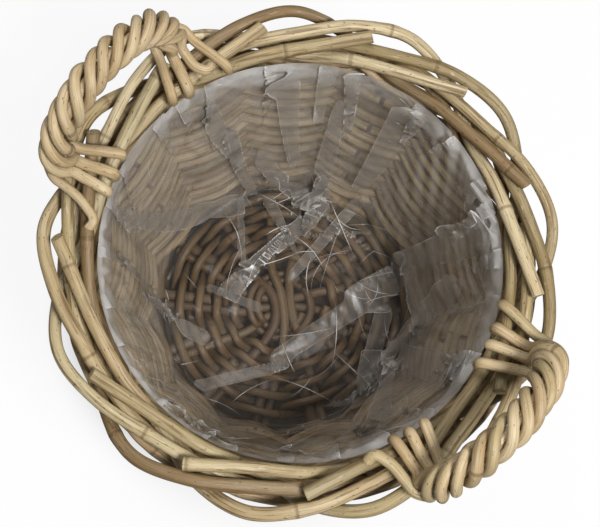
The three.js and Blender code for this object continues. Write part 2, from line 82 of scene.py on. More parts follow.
def turned_to(side, top, back, place):
    """The matrix of a camera or a lamp at a place, from the directions of its three axes."""
    return Matrix([*np.column_stack([side, top, back, place]).tolist(), [0, 0, 0, 1]])


def in_scene(name, data):
    """A mesh, a lamp or a camera as an object in the scene."""
    made = bpy.data.objects.new(name, data)
    bpy.context.scene.collection.objects.link(made)
    return made


camera = in_scene("camera", bpy.data.cameras.new("camera"))
camera.data.sensor_fit = "HORIZONTAL"
camera.data.angle = 2 * math.atan(image_width / 2 / (pixels_per_metre * camera_distance))
camera.matrix_world = turned_to(right, up, towards_camera, eye)
bpy.context.scene.camera = camera
print("camera sees", round(math.degrees(camera.data.angle), 1), "degrees across")

# %% [markdown]
# ## Shader maths
# Patterns read better as sums and products than as a list of nodes. `Wire` wraps one output socket and
# turns `+`, `-` and `*` into Math or Vector Math nodes. `Finish` is one material, and its `node` method
# adds any other node: settings first, because some of them change the sockets, and then the sockets.

# %% A small class for sockets, and one for materials


class Wire:
    """One output socket. An operator adds the Math node, or the Vector Math node, that it stands for."""

    def __init__(self, finish, socket):
        self.finish = finish
        self.socket = socket

    def join(self, operation, first, second):
        """One operation on two values, as a vector's where one of them is a vector or a colour."""
        wires = [value for value in (first, second) if isinstance(value, Wire)]
        vector = any(wire.socket.type in ("VECTOR", "RGBA") for wire in wires)
        kind = "ShaderNodeVectorMath" if vector else "ShaderNodeMath"
        if vector:
            first, second = ((v,) * 3 if isinstance(v, (int, float)) else v for v in (first, second))
        return self.finish.node(kind, {"operation": operation}, {0: first, 1: second})

    def __add__(self, other):
        return self.join("ADD", self, other)

    __radd__ = __add__

    def __sub__(self, other):
        return self.join("SUBTRACT", self, other)

    def __rsub__(self, other):
        return self.join("SUBTRACT", other, self)

    def __mul__(self, other):
        return self.join("MULTIPLY", self, other)

    __rmul__ = __mul__

    def band(self, low, high):
        """0 up to low, 1 from high on, and a soft slope between. It falls where low is over high."""
        settings = {"interpolation_type": "SMOOTHSTEP"}
        sockets = {"Value": self, "From Min": low, "From Max": high}
        return self.finish.node("ShaderNodeMapRange", settings, sockets)


class Finish:
    """One material, made of nodes."""

    def __init__(self, name):
        self.material = bpy.data.materials.new(name)
        self.material.use_nodes = True
        self.tree = self.material.node_tree
        self.tree.nodes.clear()

    def node(self, kind, settings=None, sockets=None, output=0):
        """Adds a node, sets it, then gives its sockets values or links, and returns one output. A socket
        goes by its name, or by its number where several on a node have one name."""
        made = self.tree.nodes.new(kind)
        for name, value in (settings or {}).items():
            setattr(made, name, value)
        for name, value in (sockets or {}).items():
            if isinstance(value, Wire):
                self.tree.links.new(value.socket, made.inputs[name])
            else:
                made.inputs[name].default_value = value
        return Wire(self, made.outputs[output])

    def attribute(self, name, output="Fac"):
        """A value that the mesh carries at its points."""
        return self.node("ShaderNodeAttribute", {"attribute_name": name}, output=output)

    def noise(self, place, scale, detail, rough=0.5, warp=0.0):
        """Clouds from about 0.3 to 0.7, so many to the metre, with finer ones in them by the detail."""
        sockets = {"Vector": place, "Scale": scale, "Detail": detail, "Roughness": rough, "Distortion": warp}
        return self.node("ShaderNodeTexNoise", None, sockets)

    def height_of(self, vector):
        """The upward share of a vector."""
        return self.node("ShaderNodeSeparateXYZ", None, {"Vector": vector}, "Z")

    def distance(self, place, middle):
        """How far a place lies from a middle."""
        return self.node("ShaderNodeVectorMath", {"operation": "DISTANCE"}, {0: place, 1: middle}, "Value")

    def mix(self, share, first, second):
        """The first colour where share is 0, the second where it is 1."""
        sockets = {0: share, 6: first, 7: second}
        return self.node("ShaderNodeMix", {"data_type": "RGBA"}, sockets, output=2)

    def surface(self, sockets):
        """A Principled surface as the material's output."""
        return self.end_with(self.node("ShaderNodeBsdfPrincipled", None, sockets))

    def end_with(self, shader):
        """Makes a shader the material's output."""
        made = self.tree.nodes.new("ShaderNodeOutputMaterial")
        self.tree.links.new(shader.socket, made.inputs["Surface"])
        return self.material


def paint(red, green, blue):
    """A colour as it looks on a screen, from 0 to 255, in the linear light that shaders work in."""
    linear = [((v / 255 + 0.055) / 1.055) ** 2.4 if v > 10 else v / 255 / 12.92 for v in (red, green, blue)]
    return (*linear, 1.0)


# %% [markdown]
# ## Rattan
# Rattan is a vine. Along it run fine fibres, every hand's breadth there is a knuckle where a leaf sat,
# and its skin is straw, olive or brown by turns, with flecks and scuffs. The pattern has to follow the
# rod round its bends, so the material doesn't read a place in space. Each tube carries `grain`, its own
# coordinates: two across the rod and one along it. `tint` is one number for each rod, `knuckle` rises
# at the knuckles, and `cut` is 1 on the sawn ends. Only the painted shade reads a place in space: the
# rods are painted darker where they face down, near the floor and deep in the border.

# %% The function for all skins, and the colours of what lies on them
olive, fibre_brown, scuff_cream = paint(160, 152, 104), paint(104, 80, 50), paint(236, 222, 190)
fleck_brown, knuckle_brown = paint(70, 48, 28), paint(92, 68, 40)
# Painted shade: these browns and heights paint the rods darker where they face down, near the floor and
# under the border's top
underside_shade_brown, painted_shade_brown = paint(74, 54, 32), paint(84, 62, 40)
pith_cream, pith_brown = paint(232, 214, 168), paint(96, 68, 38)
foot_shade_heights, border_shade_heights = (0.02, 0.05), (0.235, 0.288)


def rattan(name, pale, middle, dark, patches, roughness, foot_shade_share=0.0, border_shade_share=0.0):
    """A skin between three colours by the rod's tint, some of them olive, with clouds, streaks, fibres,
    scuffs, flecks and knuckle rings. Patches is how brown the streaks are. Painted shade darkens it where
    the rod faces down, and the two shade shares say how much at the foot and under the border's top."""
    finish = Finish(name)
    grain = finish.attribute("grain", "Vector")
    tint = finish.attribute("tint")
    knuckle = finish.attribute("knuckle")
    cut = finish.attribute("cut")

    def pattern(across, along, detail, rough=0.5, warp=0.0):
        """Noise with so many clouds to the metre across the rod, and so many along it."""
        return finish.noise(grain * (across, across, along), 1.0, detail, rough, warp)

    fibres = pattern(1500.0, 34.0, 2.0)
    streaks = pattern(430.0, 17.0, 3.0, 0.6)
    clouds = pattern(70.0, 16.0, 2.0)
    flecks = pattern(700.0, 240.0, 1.0)
    scuffs = pattern(260.0, 45.0, 4.0, 0.7, 0.6)
    pith = pattern(1300.0, 300.0, 3.0, 0.7)

    # The tint's further digits are a second number for each rod, which says how olive it is
    second_tint = finish.node("ShaderNodeMath", {"operation": "FRACT"}, {0: tint * 7.3})
    ring = knuckle.band(0.35, 0.9)
    facing_up = finish.height_of(finish.node("ShaderNodeNewGeometry", output="Normal"))
    height = finish.height_of(finish.node("ShaderNodeTexCoord", output="Object"))
    layers = [
        (tint.band(0.5, 1.0), dark),
        (second_tint.band(0.4, 0.9) * 0.4, olive),
        (clouds.band(0.35, 0.7) * 0.35, middle),
        (clouds.band(0.62, 0.3) * 0.35, pale),
        (streaks.band(0.5, 0.66) * patches, dark),
        (fibres.band(0.5, 0.72) * 0.45, fibre_brown),
        (scuffs.band(0.6, 0.72) * 0.45, scuff_cream),
        (flecks.band(0.68, 0.74) * 0.8, fleck_brown),
        (ring * 0.5, knuckle_brown),
        # Painted shade: darker where the rod faces down, near the floor and under the border's top
        ((1 - facing_up.band(-0.8, 0.45)) * 0.5, underside_shade_brown),
        ((1 - height.band(*foot_shade_heights)) * foot_shade_share, painted_shade_brown),
        ((1 - height.band(*border_shade_heights)) * border_shade_share, painted_shade_brown),
        (cut, finish.mix(pith.band(0.4, 0.62), pith_cream, pith_brown)),
    ]
    colour = finish.mix(tint.band(0.0, 0.6), pale, middle)
    for share, layer in layers:
        colour = finish.mix(share, colour, layer)

    relief = fibres * 0.5 + streaks * 0.7 + scuffs * 0.6 - ring * 0.5
    bump = finish.node("ShaderNodeBump", None, {"Strength": 0.8, "Distance": 0.001, "Height": relief})
    dullness = roughness + streaks * 0.18 + cut * 0.2
    return finish.surface({"Base Color": colour, "Roughness": dullness, "Normal": bump})


# %% Four skins: the border, the golden handles, the grey base and the wall
# The two shade shares paint each skin darker, as shade, near the floor and under the border's top
border_skin = rattan(
    "rattan", paint(226, 208, 168), paint(190, 166, 124), paint(120, 92, 56),
    patches=0.8, roughness=0.36, foot_shade_share=0.85, border_shade_share=0.5,
)
handle_skin = rattan(
    "rattan_golden", paint(240, 224, 190), paint(214, 190, 148), paint(168, 136, 90),
    patches=0.5, roughness=0.36,
)
base_skin = rattan(
    "rattan_grey", paint(158, 130, 92), paint(122, 94, 60), paint(66, 46, 28),
    patches=0.7, roughness=0.4, foot_shade_share=0.72,
)
wall_skin = rattan(
    "rattan_wall", paint(220, 194, 150), paint(182, 154, 112), paint(114, 86, 54),
    patches=0.7, roughness=0.42, foot_shade_share=0.3,
)
print("nodes in one skin:", len(border_skin.node_tree.nodes))

# %% [markdown]
# ## One tube for every rod
# A rod starts as a few knots in space. A smooth curve runs through them and is cut into equal steps.
# Each step gets a ring of points, square to the curve. The ring must not spin from step to step, or the
# grain would twist, so each frame is the last one turned by the smallest turn that takes one direction
# to the next. The product of all turns so far is worked out by doubling: first over two steps, then
# over four, then over eight.

# %% A smooth curve through knots
stretch_steps = 16


def lengths_along(path):
    """How far along a path each of its points lies."""
    return np.concatenate([[0], np.cumsum(np.linalg.norm(np.diff(path, axis=0), axis=1))])


def smooth_path(knots, spacing):
    """A curve through knots, cut into equal steps. Each stretch is a cubic that leaves a knot in the
    direction weighed from the two chords that meet there, by their lengths."""
    knots = np.asarray(knots, float)
    padded = np.vstack([2 * knots[0] - knots[1], knots, 2 * knots[-1] - knots[-2]])
    chords = np.linalg.norm(np.diff(padded, axis=0), axis=1)[:, None]
    slopes = np.diff(padded, axis=0) / chords
    before, after = chords[:-1], chords[1:]
    tangents = (slopes[:-1] * after + slopes[1:] * before) / (before + after)
    t = np.linspace(0, 1, stretch_steps + 1)[None, :-1, None]
    start, end = knots[:-1, None, :], knots[1:, None, :]
    length = chords[1:-1][:, None, :]
    leave, arrive = tangents[:-1, None, :] * length, tangents[1:, None, :] * length
    curve = (
        (2 * t**3 - 3 * t**2 + 1) * start + (t**3 - 2 * t**2 + t) * leave
        + (3 * t**2 - 2 * t**3) * end + (t**3 - t**2) * arrive
    ).reshape(-1, 3)
    curve = np.vstack([curve, knots[-1]])
    along = lengths_along(curve)
    steps = max(2, int(round(along[-1] / spacing)))
    even = np.linspace(0, along[-1], steps + 1)
    return np.stack([np.interp(even, along, curve[:, axis]) for axis in range(3)], axis=1)


# %% Frames that don't spin
def carried_frames(directions):
    """One frame for each direction: the first one is chosen, and each next one is turned with the
    direction by the shortest turn. With v = a x b, that turn is I + [v] + [v][v] / (1 + a.b)."""
    a, b = directions[:-1], directions[1:]
    v = np.cross(a, b)
    skew = np.zeros((len(v), 3, 3))
    skew[:, 0, 1], skew[:, 0, 2], skew[:, 1, 2] = -v[:, 2], v[:, 1], -v[:, 0]
    skew -= skew.transpose(0, 2, 1)
    share = 1 / (1 + np.einsum("ij,ij->i", a, b))
    turns = np.vstack([np.eye(3)[None], np.eye(3) + skew + skew @ skew * share[:, None, None]])
    reach = 1
    while reach < len(turns):
        turns[reach:] = turns[reach:] @ turns[:-reach].copy()
        reach *= 2
    least = np.eye(3)[np.argmin(np.abs(directions[0]))]
    first = unit(np.cross(directions[0], least))
    normals = turns @ first
    return normals, np.cross(directions, normals)


# %% The tube
ring_sides = 16
bevel = 0.0006
end_shrink = np.array([0.25, 0.86, 0.95])
knuckle_mark, knuckle_reach = 0.0022, 0.006
knuckle_share, swell_share, taper_share = 0.09, 0.05, 0.04
oval_share, triangle_share = 0.03, 0.02
swell_length, slant_reach = 0.06, 0.012
any_phase = (0, 6.3)


def rod_rings(path, diameter, luck, knuckle_gap, slant):
    """Rings along one rod: the steps that they sit on, their radii and lean, how far along they lie, the
    knuckle and cut values, and how far they are set in. The radius is half the diameter, with a slight
    taper, a slow swell and a bulge at each knuckle. The ends close through a bevel to a small middle
    ring, and lean by their slant."""
    along = lengths_along(path)
    total = along[-1]
    first = luck.uniform(0.15, 0.85) * knuckle_gap
    away = np.abs((along - first + knuckle_gap / 2) % knuckle_gap - knuckle_gap / 2)
    knuckle = np.exp(-(away / knuckle_mark) ** 2)
    swell = 1 + swell_share * np.sin(along / swell_length + luck.uniform(*any_phase))
    swell = swell + knuckle_share * np.exp(-(away / knuckle_reach) ** 2)
    taper = 1 + luck.uniform(-taper_share, taper_share) * (along / total - 0.5)
    radii = diameter / 2 * swell * taper
    fade = max(slant_reach, 2 * diameter)
    lean = slant[0] * np.clip(1 - along / fade, 0, 1) + slant[1] * np.clip(1 - (total - along) / fade, 0, 1)
    step = np.concatenate([[0, 0, 0], np.arange(len(path)), [-1, -1, -1]])
    shrink = np.ones(len(step))
    shrink[:3], shrink[-3:] = end_shrink, end_shrink[::-1]
    cut = np.zeros(len(step))
    cut[:2], cut[-2:] = 1, 1
    inset = np.zeros(len(step))
    inset[3], inset[-4] = bevel, -bevel
    return step, radii[step] * shrink, lean[step], along[step], knuckle[step] * (1 - cut), cut, inset


def tube(path, diameter, luck, knuckle_gap=0.14, slant=(0.0, 0.0), sides=ring_sides):
    """One rod as points, faces and the values that its material reads. A ring's point is its centre,
    plus cosine and sine of its turn times the radius along the frame's two normals. Each rod is a
    little out of round, and its ends are pushed along by their lean."""
    step, radii, lean, along, knuckle, cut, inset = rod_rings(path, diameter, luck, knuckle_gap, slant)
    directions = unit(np.gradient(path, axis=0))
    normals, sideways = carried_frames(directions)
    turn = np.arange(sides) / sides * 2 * math.pi
    outline = 1 + oval_share * np.cos(2 * turn + luck.uniform(*any_phase))
    outline = outline + triangle_share * np.cos(3 * turn + luck.uniform(*any_phase))
    across = radii[:, None] * np.cos(turn) * outline
    over = radii[:, None] * np.sin(turn) * outline
    forward = across * lean[:, None] + inset[:, None]
    points = (
        path[step][:, None, :]
        + across[..., None] * normals[step][:, None, :]
        + over[..., None] * sideways[step][:, None, :]
        + forward[..., None] * directions[step][:, None, :]
    )
    grain = np.stack([across, over, np.broadcast_to(along[:, None], across.shape)], axis=-1)
    grain[..., 2] += luck.uniform(0, 40)
    rings = len(step)
    i, j = np.meshgrid(np.arange(rings - 1), np.arange(sides), indexing="ij")
    next_j = (j + 1) % sides
    walls = np.stack([i * sides + j, i * sides + next_j, (i + 1) * sides + next_j, (i + 1) * sides + j], -1)
    caps = [list(range(sides))[::-1], list(range((rings - 1) * sides, rings * sides))]
    return {
        "points": points.reshape(-1, 3),
        "faces": walls.reshape(-1, 4).tolist() + caps,
        "grain": grain.reshape(-1, 3),
        "tint": np.full(rings * sides, luck.uniform(0, 1)),
        "knuckle": np.repeat(knuckle, sides),
        "cut": np.repeat(cut, sides),
    }


# %% Showing a tube, and bending its path
fine_step, coarse_step = 0.0025, 0.003
slow_waves = ((0.021, 0.4), (0.045, 0.8))
still_end = 0.05


def carry(mesh, values):
    """Lets a mesh carry one number at each point for each name."""
    for name, value in values.items():
        mesh.attributes.new(name, "FLOAT", "POINT").data.foreach_set("value", value.astype(np.float32))


def show(name, data, material, nodes):
    """Puts one tube's points and values into a mesh, and lets it stand for its CAD nodes."""
    mesh = bpy.data.meshes.new(name)
    mesh.from_pydata(data["points"].tolist(), [], data["faces"])
    carry(mesh, {key: data[key] for key in ("tint", "knuckle", "cut")})
    grain = data["grain"].astype(np.float32).ravel()
    mesh.attributes.new("grain", "FLOAT_VECTOR", "POINT").data.foreach_set("vector", grain)
    mesh.polygons.foreach_set("use_smooth", [True] * len(mesh.polygons))
    mesh.materials.append(material)
    mesh.update()
    piece = in_scene(name, mesh)
    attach(piece, "root")
    if nodes:
        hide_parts(*nodes)


def wobble(path, luck, amount):
    """Moves a path by two slow sine waves in each direction, because no rod grows straight. The ends
    move least, so that they stay where they are tucked in."""
    along = lengths_along(path)
    waves = sum(
        np.sin(along[:, None] / length + luck.uniform(*any_phase, 3)) * weight
        for length, weight in slow_waves
    )
    ends = np.clip(np.minimum(along, along[-1] - along) / still_end, 0.2, 1)[:, None]
    return path + waves * amount * ends


# %% [markdown]
# ## The plan of the basket
# Thirteen stakes stand on a circle. Everything else is measured from them: an angle counts stakes, and
# a distance counts the rods that lie between. The lengths are the CAD model's, in metres. The border is
# written as the way of one stake through it: how many stakes it has passed, and how many ranks of rods
# it lies outside the rim's circle and above the border's floor.

# %% Sizes and the formulas for places
stake_count = 13
stake_step = 2 * math.pi / stake_count
first_stake = math.radians(21.3)
stake_size, spoke_size, weaver_size, wale_size, strand_size = 0.010, 0.008, 0.008, 0.009, 0.009
clearance = 0.0004
foot_radius, rim_radius, border_top, base_crown = 0.132, 0.186, 0.300, 0.004
border_pitch, wale_pitch = stake_size + clearance, wale_size + clearance
over_stake = stake_size / 2 + weaver_size / 2 + clearance
over_stake_wale = stake_size / 2 + wale_size / 2 + clearance
over_spoke = spoke_size / 2 + weaver_size / 2 + clearance
beside_tail = stake_size / 2 + spoke_size / 2 + clearance

border_rows = np.array([
    [0, 0, 0.15], [0.07, 0, 0.55], [0.2, 0, 0.85], [0.4, -0.1, 1.05], [1, 0.2, 1.6], [1.5, 1.25, 2],
    [2, 2.1, 1.2], [2.5, 0.9, 0], [3, -1.1, 0], [3.5, -1.35, 1], [4, -1.25, 2], [4.65, 0.5, 2.6],
])
cad_rod_sides, flat_depth = 5, 0.0004
stand_height = wale_size / 2 * math.cos(math.pi / cad_rod_sides) - flat_depth
base_edge = stand_height + over_stake_wale
border_floor = border_top - stake_size / 2 - border_rows[:, 2].max() * border_pitch
wall_top = border_floor - stake_size / 2 - clearance
border_start = border_floor + border_rows[0, 2] * border_pitch
wall_slope = (rim_radius - foot_radius) / (border_start - base_edge)
wall_stretch = math.hypot(1, wall_slope)


def stake_angle(index):
    """The angle of a stake, or of a place between two stakes."""
    return first_stake - np.asarray(index, float) * stake_step


def wall_radius(height, offset=0.0):
    """The radius of the stake line at a height, moved square to the wall by an offset."""
    return foot_radius + (height - base_edge) * wall_slope + offset * wall_stretch


def base_height(radius):
    """The height of the base's middle layer: a low dome."""
    return base_edge + base_crown * (1 - (radius / foot_radius) ** 2)


def polar(angle, out, height, left=0.0):
    """Points at angles: so far out along each, so far to its left, and so high."""
    angle, out, height, left = np.broadcast_arrays(angle, out, height, left)
    x = out * np.cos(angle) - left * np.sin(angle)
    y = out * np.sin(angle) + left * np.cos(angle)
    return np.stack([x, y, height], axis=-1).astype(float)


def border_point(passed, ranks_out, ranks_up):
    """Places in the border, from the number of stakes passed and the ranks of rods out and up."""
    out = rim_radius + ranks_out * border_pitch
    return polar(stake_angle(passed), out, border_floor + ranks_up * border_pitch)


print("wall from", round(base_edge, 4), "to", round(wall_top, 4))

# %% [markdown]
# ## Stakes and border
# A stake is the rod with the longest way: beside a base stick, up round the foot, up the wall, and then
# into the border, where each passes four others. It goes behind one stake, out round the next, under
# and in again, up the inside, and ends on top. The end differs from rod to rod, because a basket maker
# cuts the ends by hand, so each stake has its own shift of the end, in degrees round the rim.

# %% The thirteen stakes
tail_start, tail_bend = 0.071, 0.008
end_shift = np.radians([1.5, 7.3, 6.3, 3, 1, 0.6, 0, 0, 0, -2, -3.5, -3, -1]) / stake_step
tail_out = np.array([tail_start, (tail_start + foot_radius) / 2, foot_radius - tail_bend])
foot_out, foot_height = foot_radius + np.array([-0.002, 0.0006]), base_edge + np.array([0.0015, 0.0065])
wall_height = np.linspace(base_edge + 0.03, border_start - 0.02, 4)


def stake_knots(index):
    """One stake's knots: its tail in the base, the bend at the foot, the wall and the border."""
    angle = stake_angle(index)
    rows = border_rows.copy()
    last_run = (rows[-1] - rows[-2]) / (rows[-1, 0] - rows[-2, 0])
    rows[-1] += last_run * end_shift[index] * (1, 0.6, 0.3)
    return np.vstack([
        polar(angle, tail_out, base_height(tail_out)),
        polar(angle, foot_out, foot_height),
        polar(angle, wall_radius(wall_height), wall_height),
        border_point(index + rows[:, 0], rows[:, 1], rows[:, 2]),
    ])


for index in range(stake_count):
    luck = np.random.default_rng(100 + index)
    path = wobble(smooth_path(stake_knots(index), fine_step), luck, amount=0.0006)
    size, knuckle_gap = stake_size * luck.uniform(0.98, 1.1), luck.uniform(0.11, 0.2)
    rod = tube(path, size, luck, knuckle_gap, slant=(0.2, luck.uniform(-0.6, 0.6)))
    show(f"rod_stake_{index + 1:02d}", rod, border_skin, [f"stake_{index + 1:02d}"])
print("stakes:", stake_count, "length of the last:", round(lengths_along(path)[-1], 3))

# %% [markdown]
# ## Base
# Six sticks cross in two layers of three, and a half stick serves the odd stake. Each stick lies to the
# left of its two stakes' tails, so in the middle it bends a little to lie beside its neighbours.

# %% Base sticks
spoke_fan, spoke_bend = 0.038, 0.07
odd_stake, half_stick_start = 11, 0.034
cross_reach, cross_pitch = 0.016, 0.0095
spoke_end = foot_radius - over_stake - weaver_size / 2 - clearance
cross_layers = [(-1, [(1, 5), (0, 6), (12, 7)]), (1, [(2, 10), (3, 9), (4, 8)])]


def spoke_point(index, out):
    """A point on a base stick, which lies to the left of its stake's tail."""
    return polar(stake_angle(index), out, base_height(out), beside_tail)


stick_number = 0
for layer, pairs in cross_layers:
    axis = unit(spoke_point(pairs[1][0], spoke_fan) - spoke_point(pairs[1][1], spoke_fan))
    across = np.array([-axis[1], axis[0], 0.0])
    for rank, (start, end) in enumerate(pairs):
        stick_number += 1
        luck = np.random.default_rng(200 + stick_number)
        middle = across * (1 - rank) * cross_pitch
        if middle @ spoke_point(start, spoke_fan) < 0:
            middle = -middle
        middle = middle + (0, 0, base_height(0.0) + layer * (spoke_size + clearance) / 2)
        knots = np.vstack([
            spoke_point(start, spoke_end), spoke_point(start, spoke_bend), spoke_point(start, spoke_fan),
            middle + axis * cross_reach, middle - axis * cross_reach,
            spoke_point(end, spoke_fan), spoke_point(end, spoke_bend), spoke_point(end, spoke_end),
        ])
        name = f"base_stick_{stick_number}"
        rod = tube(smooth_path(knots, coarse_step), spoke_size * luck.uniform(1, 1.1), luck)
        show(f"rod_{name}", rod, base_skin, [name])
luck = np.random.default_rng(207)
knots = np.vstack([spoke_point(odd_stake, half_stick_start), spoke_point(odd_stake, spoke_end)])
rod = tube(smooth_path(knots, coarse_step), spoke_size, luck)
show("rod_base_half_stick", rod, base_skin, ["base_half_stick"])
print("base sticks:", stick_number, "and a half one")

# %% [markdown]
# ### The base's weave
# Round the sticks winds one flat spiral, over and under by turns. With thirteen places to pass it changes
# sides by itself at every turn. Where the stakes' tails lie beside the sticks, it takes both together, so
# each place has two knots, one at each side of what is passed. A thinner rod ties the cross: it goes over
# one bundle of three sticks and under the next.

# %% Base weavers
weave_start, weave_gap, first_weaver_share = 0.042, 0.0008, 0.3
weave_end = foot_radius - over_stake_wale - wale_size / 2 - clearance - weaver_size / 2
base_turns = int((weave_end - weave_start) / (weaver_size + weave_gap))
weave_pitch = (weave_end - weave_start) / base_turns
shown_weaver_size, weaver_sides = weaver_size * 1.02, 14


def base_weaver_knots(first, last):
    """Two knots for each stick passed, one at each side of it: a rod's thickness above it or below."""
    n = np.arange(first, last + 1)
    out = weave_start + weave_pitch * n / stake_count
    paired = out > tail_start - weaver_size / 2 - clearance
    rise = np.where(paired, over_stake, over_spoke) * np.where(n % 2 == 0, 1, -1)
    left_side = np.full(len(n), beside_tail + spoke_size / 2)
    right_side = np.where(paired, -stake_size / 2, beside_tail - spoke_size / 2)
    left = np.stack([left_side, right_side], axis=1).ravel()
    n, out, rise = (np.repeat(values, 2) for values in (n, out, rise))
    return polar(stake_angle(n), out, base_height(out) + rise, left)


def stand_flat(rod):
    """Presses what would reach below the floor flat on it, as the lowest rods are worn."""
    rod["points"][:, 2] = np.maximum(rod["points"][:, 2], 0.0)
    return rod


base_last = base_turns * stake_count
base_split = 2 * round(base_last * first_weaver_share) + 1
inner = base_weaver_knots(0, base_split)[:-1]
outer = base_weaver_knots(base_split, base_last)[1:]
outer = np.vstack([(inner[-1] + outer[0]) / 2, outer])
for number, knots in enumerate((inner, outer), 1):
    luck = np.random.default_rng(220 + number)
    path = wobble(smooth_path(knots, fine_step), luck, amount=0.0004)
    rod = stand_flat(tube(path, shown_weaver_size, luck, knuckle_gap=0.12, sides=weaver_sides))
    show(f"rod_base_weaver_{number}", rod, base_skin, [f"base_weaver_{number}"])
print("base turns:", base_turns)

# %% The rod that ties the cross
tie_size, tie_start, tie_pitch = 0.0074, 0.0212, 0.0076
tie_rounds, tie_steps, tie_step = 1.8, 260, 0.0022
bundle_angles = np.unwrap(stake_angle([0, 3, 6, 9, stake_count]))
rounds = np.linspace(0, tie_rounds, tie_steps)
passed = (rounds % 1) * 4
tie_angle = np.interp(passed, np.arange(5), bundle_angles) - 2 * math.pi * np.floor(rounds)
tie_out = tie_start + tie_pitch * rounds
# Inside the fan a bundle lies half a stick above or below the base's middle layer, so less rise is needed
in_cross = np.clip((spoke_fan - tie_out) / (spoke_fan - cross_reach), 0, 1)
tie_rise = (spoke_size + tie_size) / 2 + clearance - in_cross * (spoke_size + clearance) / 2
# The fourth root makes the wave flat over a bundle and steep between two
wave = np.cos(math.pi * passed)
tie_wave = np.sign(wave) * np.abs(wave) ** 0.25
tie_path = polar(tie_angle, tie_out, base_height(tie_out) + tie_rise * tie_wave)
tie_path = smooth_path(tie_path, tie_step)
rod = tube(tie_path, tie_size, np.random.default_rng(229), knuckle_gap=0.12, sides=weaver_sides)
show("rod_base_tie", rod, base_skin, [])
print("tie length:", round(lengths_along(tie_path)[-1], 3))

# %% [markdown]
# ## Three-rod bands
# In a wale, three rods each pass outside two stakes and inside one, a stake behind each other, so they
# wind round each other like a rope. One band turns the stakes up at the foot, and one closes the wall.
# A band is written as rows: how many stakes are passed, how far out, and how high. The foot's band is
# in metres and the wall's in ranks of rods.

# %% The two bands
butt_gap = 0.003
row_period = 3


def towards(start, end, distance):
    """The point so far from the start on the way to the end."""
    return start + unit(end - start) * distance


def wale_knots(k, rows, start_row, to_point):
    """The knots of one rod of a band: the rows repeat every three stakes until the next rod's start."""
    steps = row_period * math.ceil((stake_count - k) / row_period)
    start = rows[start_row, 0]
    laps = np.arange(math.floor((steps + start) / row_period) + 1)
    every = (rows[None] + laps[:, None, None] * [row_period, 0, 0]).reshape(-1, 3)
    every = every[(every[:, 0] >= start) & (every[:, 0] <= start + steps)]
    knots = to_point(k + every[:, 0] - start, every[:, 1], every[:, 2])
    knots[0] = towards(knots[0], knots[1], butt_gap / 2)
    knots[-1] = towards(knots[-1], knots[-2], butt_gap / 2)
    return knots


inside_height = base_height(foot_radius - 1.5 * over_stake_wale) + over_stake_wale
upsett_rows = np.array([
    [0, 0.0015, stand_height], [0.06, 0.0015, stand_height],
    [0.5, over_stake_wale * 0.7, stand_height + 0.004],
    [0.94, over_stake_wale, base_edge + 0.001], [1.06, over_stake_wale, base_edge + 0.001],
    [1.5, 0.001, base_edge + over_stake_wale * 0.75],
    [2, -over_stake_wale, inside_height],
    [2.5, -over_stake_wale / 2, base_edge - 0.0014],
    [2.94, 0.0015, stand_height],
])
face = over_stake_wale / wale_pitch
top_floor = wall_top - 1.3 * wale_pitch - wale_size / 2
top_rows = np.array([
    [-0.045, face, 0], [0.045, face, 0], [0.5, face + 0.2, 0.5], [0.955, face, 1], [1.045, face, 1],
    [1.5, 0.1, 1.3], [2, -face, 0.5], [2.5, 0, -0.1],
])


def upsett_point(passed, offset, height):
    """Places in the foot's band."""
    return polar(stake_angle(passed), foot_radius + offset, height)


def top_point(passed, ranks_out, ranks_up):
    """Places in the band that closes the wall."""
    height = top_floor + ranks_up * wale_pitch
    return polar(stake_angle(passed), wall_radius(height, ranks_out * wale_pitch), height)


bands = [
    ("upsett_rod", upsett_rows, 0, upsett_point, "rattan_grey"),
    ("top_wale_rod", top_rows, 6, top_point, "rattan"),
]
for band, (name, rows, start_row, to_point, slot) in enumerate(bands):
    for k in range(3):
        luck = np.random.default_rng(300 + 10 * band + k)
        knots = wale_knots(k, rows, start_row, to_point)
        path = wobble(smooth_path(knots, fine_step), luck, amount=0.0003)
        rod = stand_flat(tube(path, wale_size, luck, knuckle_gap=0.15))
        show(f"rod_{name}_{k + 1}", rod, wall_skin, [f"{name}_{k + 1}"])
print("bands at", round(stand_height, 4), "and", round(top_floor, 4))

# %% [markdown]
# ## Wall weavers
# The wall is one rising spiral, in front of one stake and behind the next. With an odd number of
# stakes it changes sides by itself at every turn. A rod that is pushed to and fro takes a wave's shape,
# so the distance from the stake line is a cosine that turns over at every stake.

# %% The twenty wall weavers
wall_weavers = 20
butt_share, stake_spacing = 0.025, 0.075
wave_height, wave_fullness = over_stake * 1.03, 0.12
weave_floor = base_edge + over_stake_wale + wale_size / 2 + clearance + weaver_size / 2
weave_ceiling = wall_top - 1.4 * wale_pitch - wale_size - clearance - weaver_size / 2
wall_turns = int((weave_ceiling - weave_floor) / (weaver_size + clearance))
wall_pitch = (weave_ceiling - weave_floor) / wall_turns


def wall_weaver_path(first, last, spacing):
    """The spiral from one stake to another. It rises one pitch a turn, and its distance from the stake
    line is minus the cosine of pi times the stakes passed, a little fuller between two stakes."""
    n = np.linspace(first, last, int((last - first) * stake_spacing / spacing))
    height = weave_floor + wall_pitch * n / stake_count
    wave = -np.cos(math.pi * n)
    wave = wave * (1 + wave_fullness * (1 - wave**2))
    return polar(stake_angle(n), wall_radius(height, wave_height * wave), height)


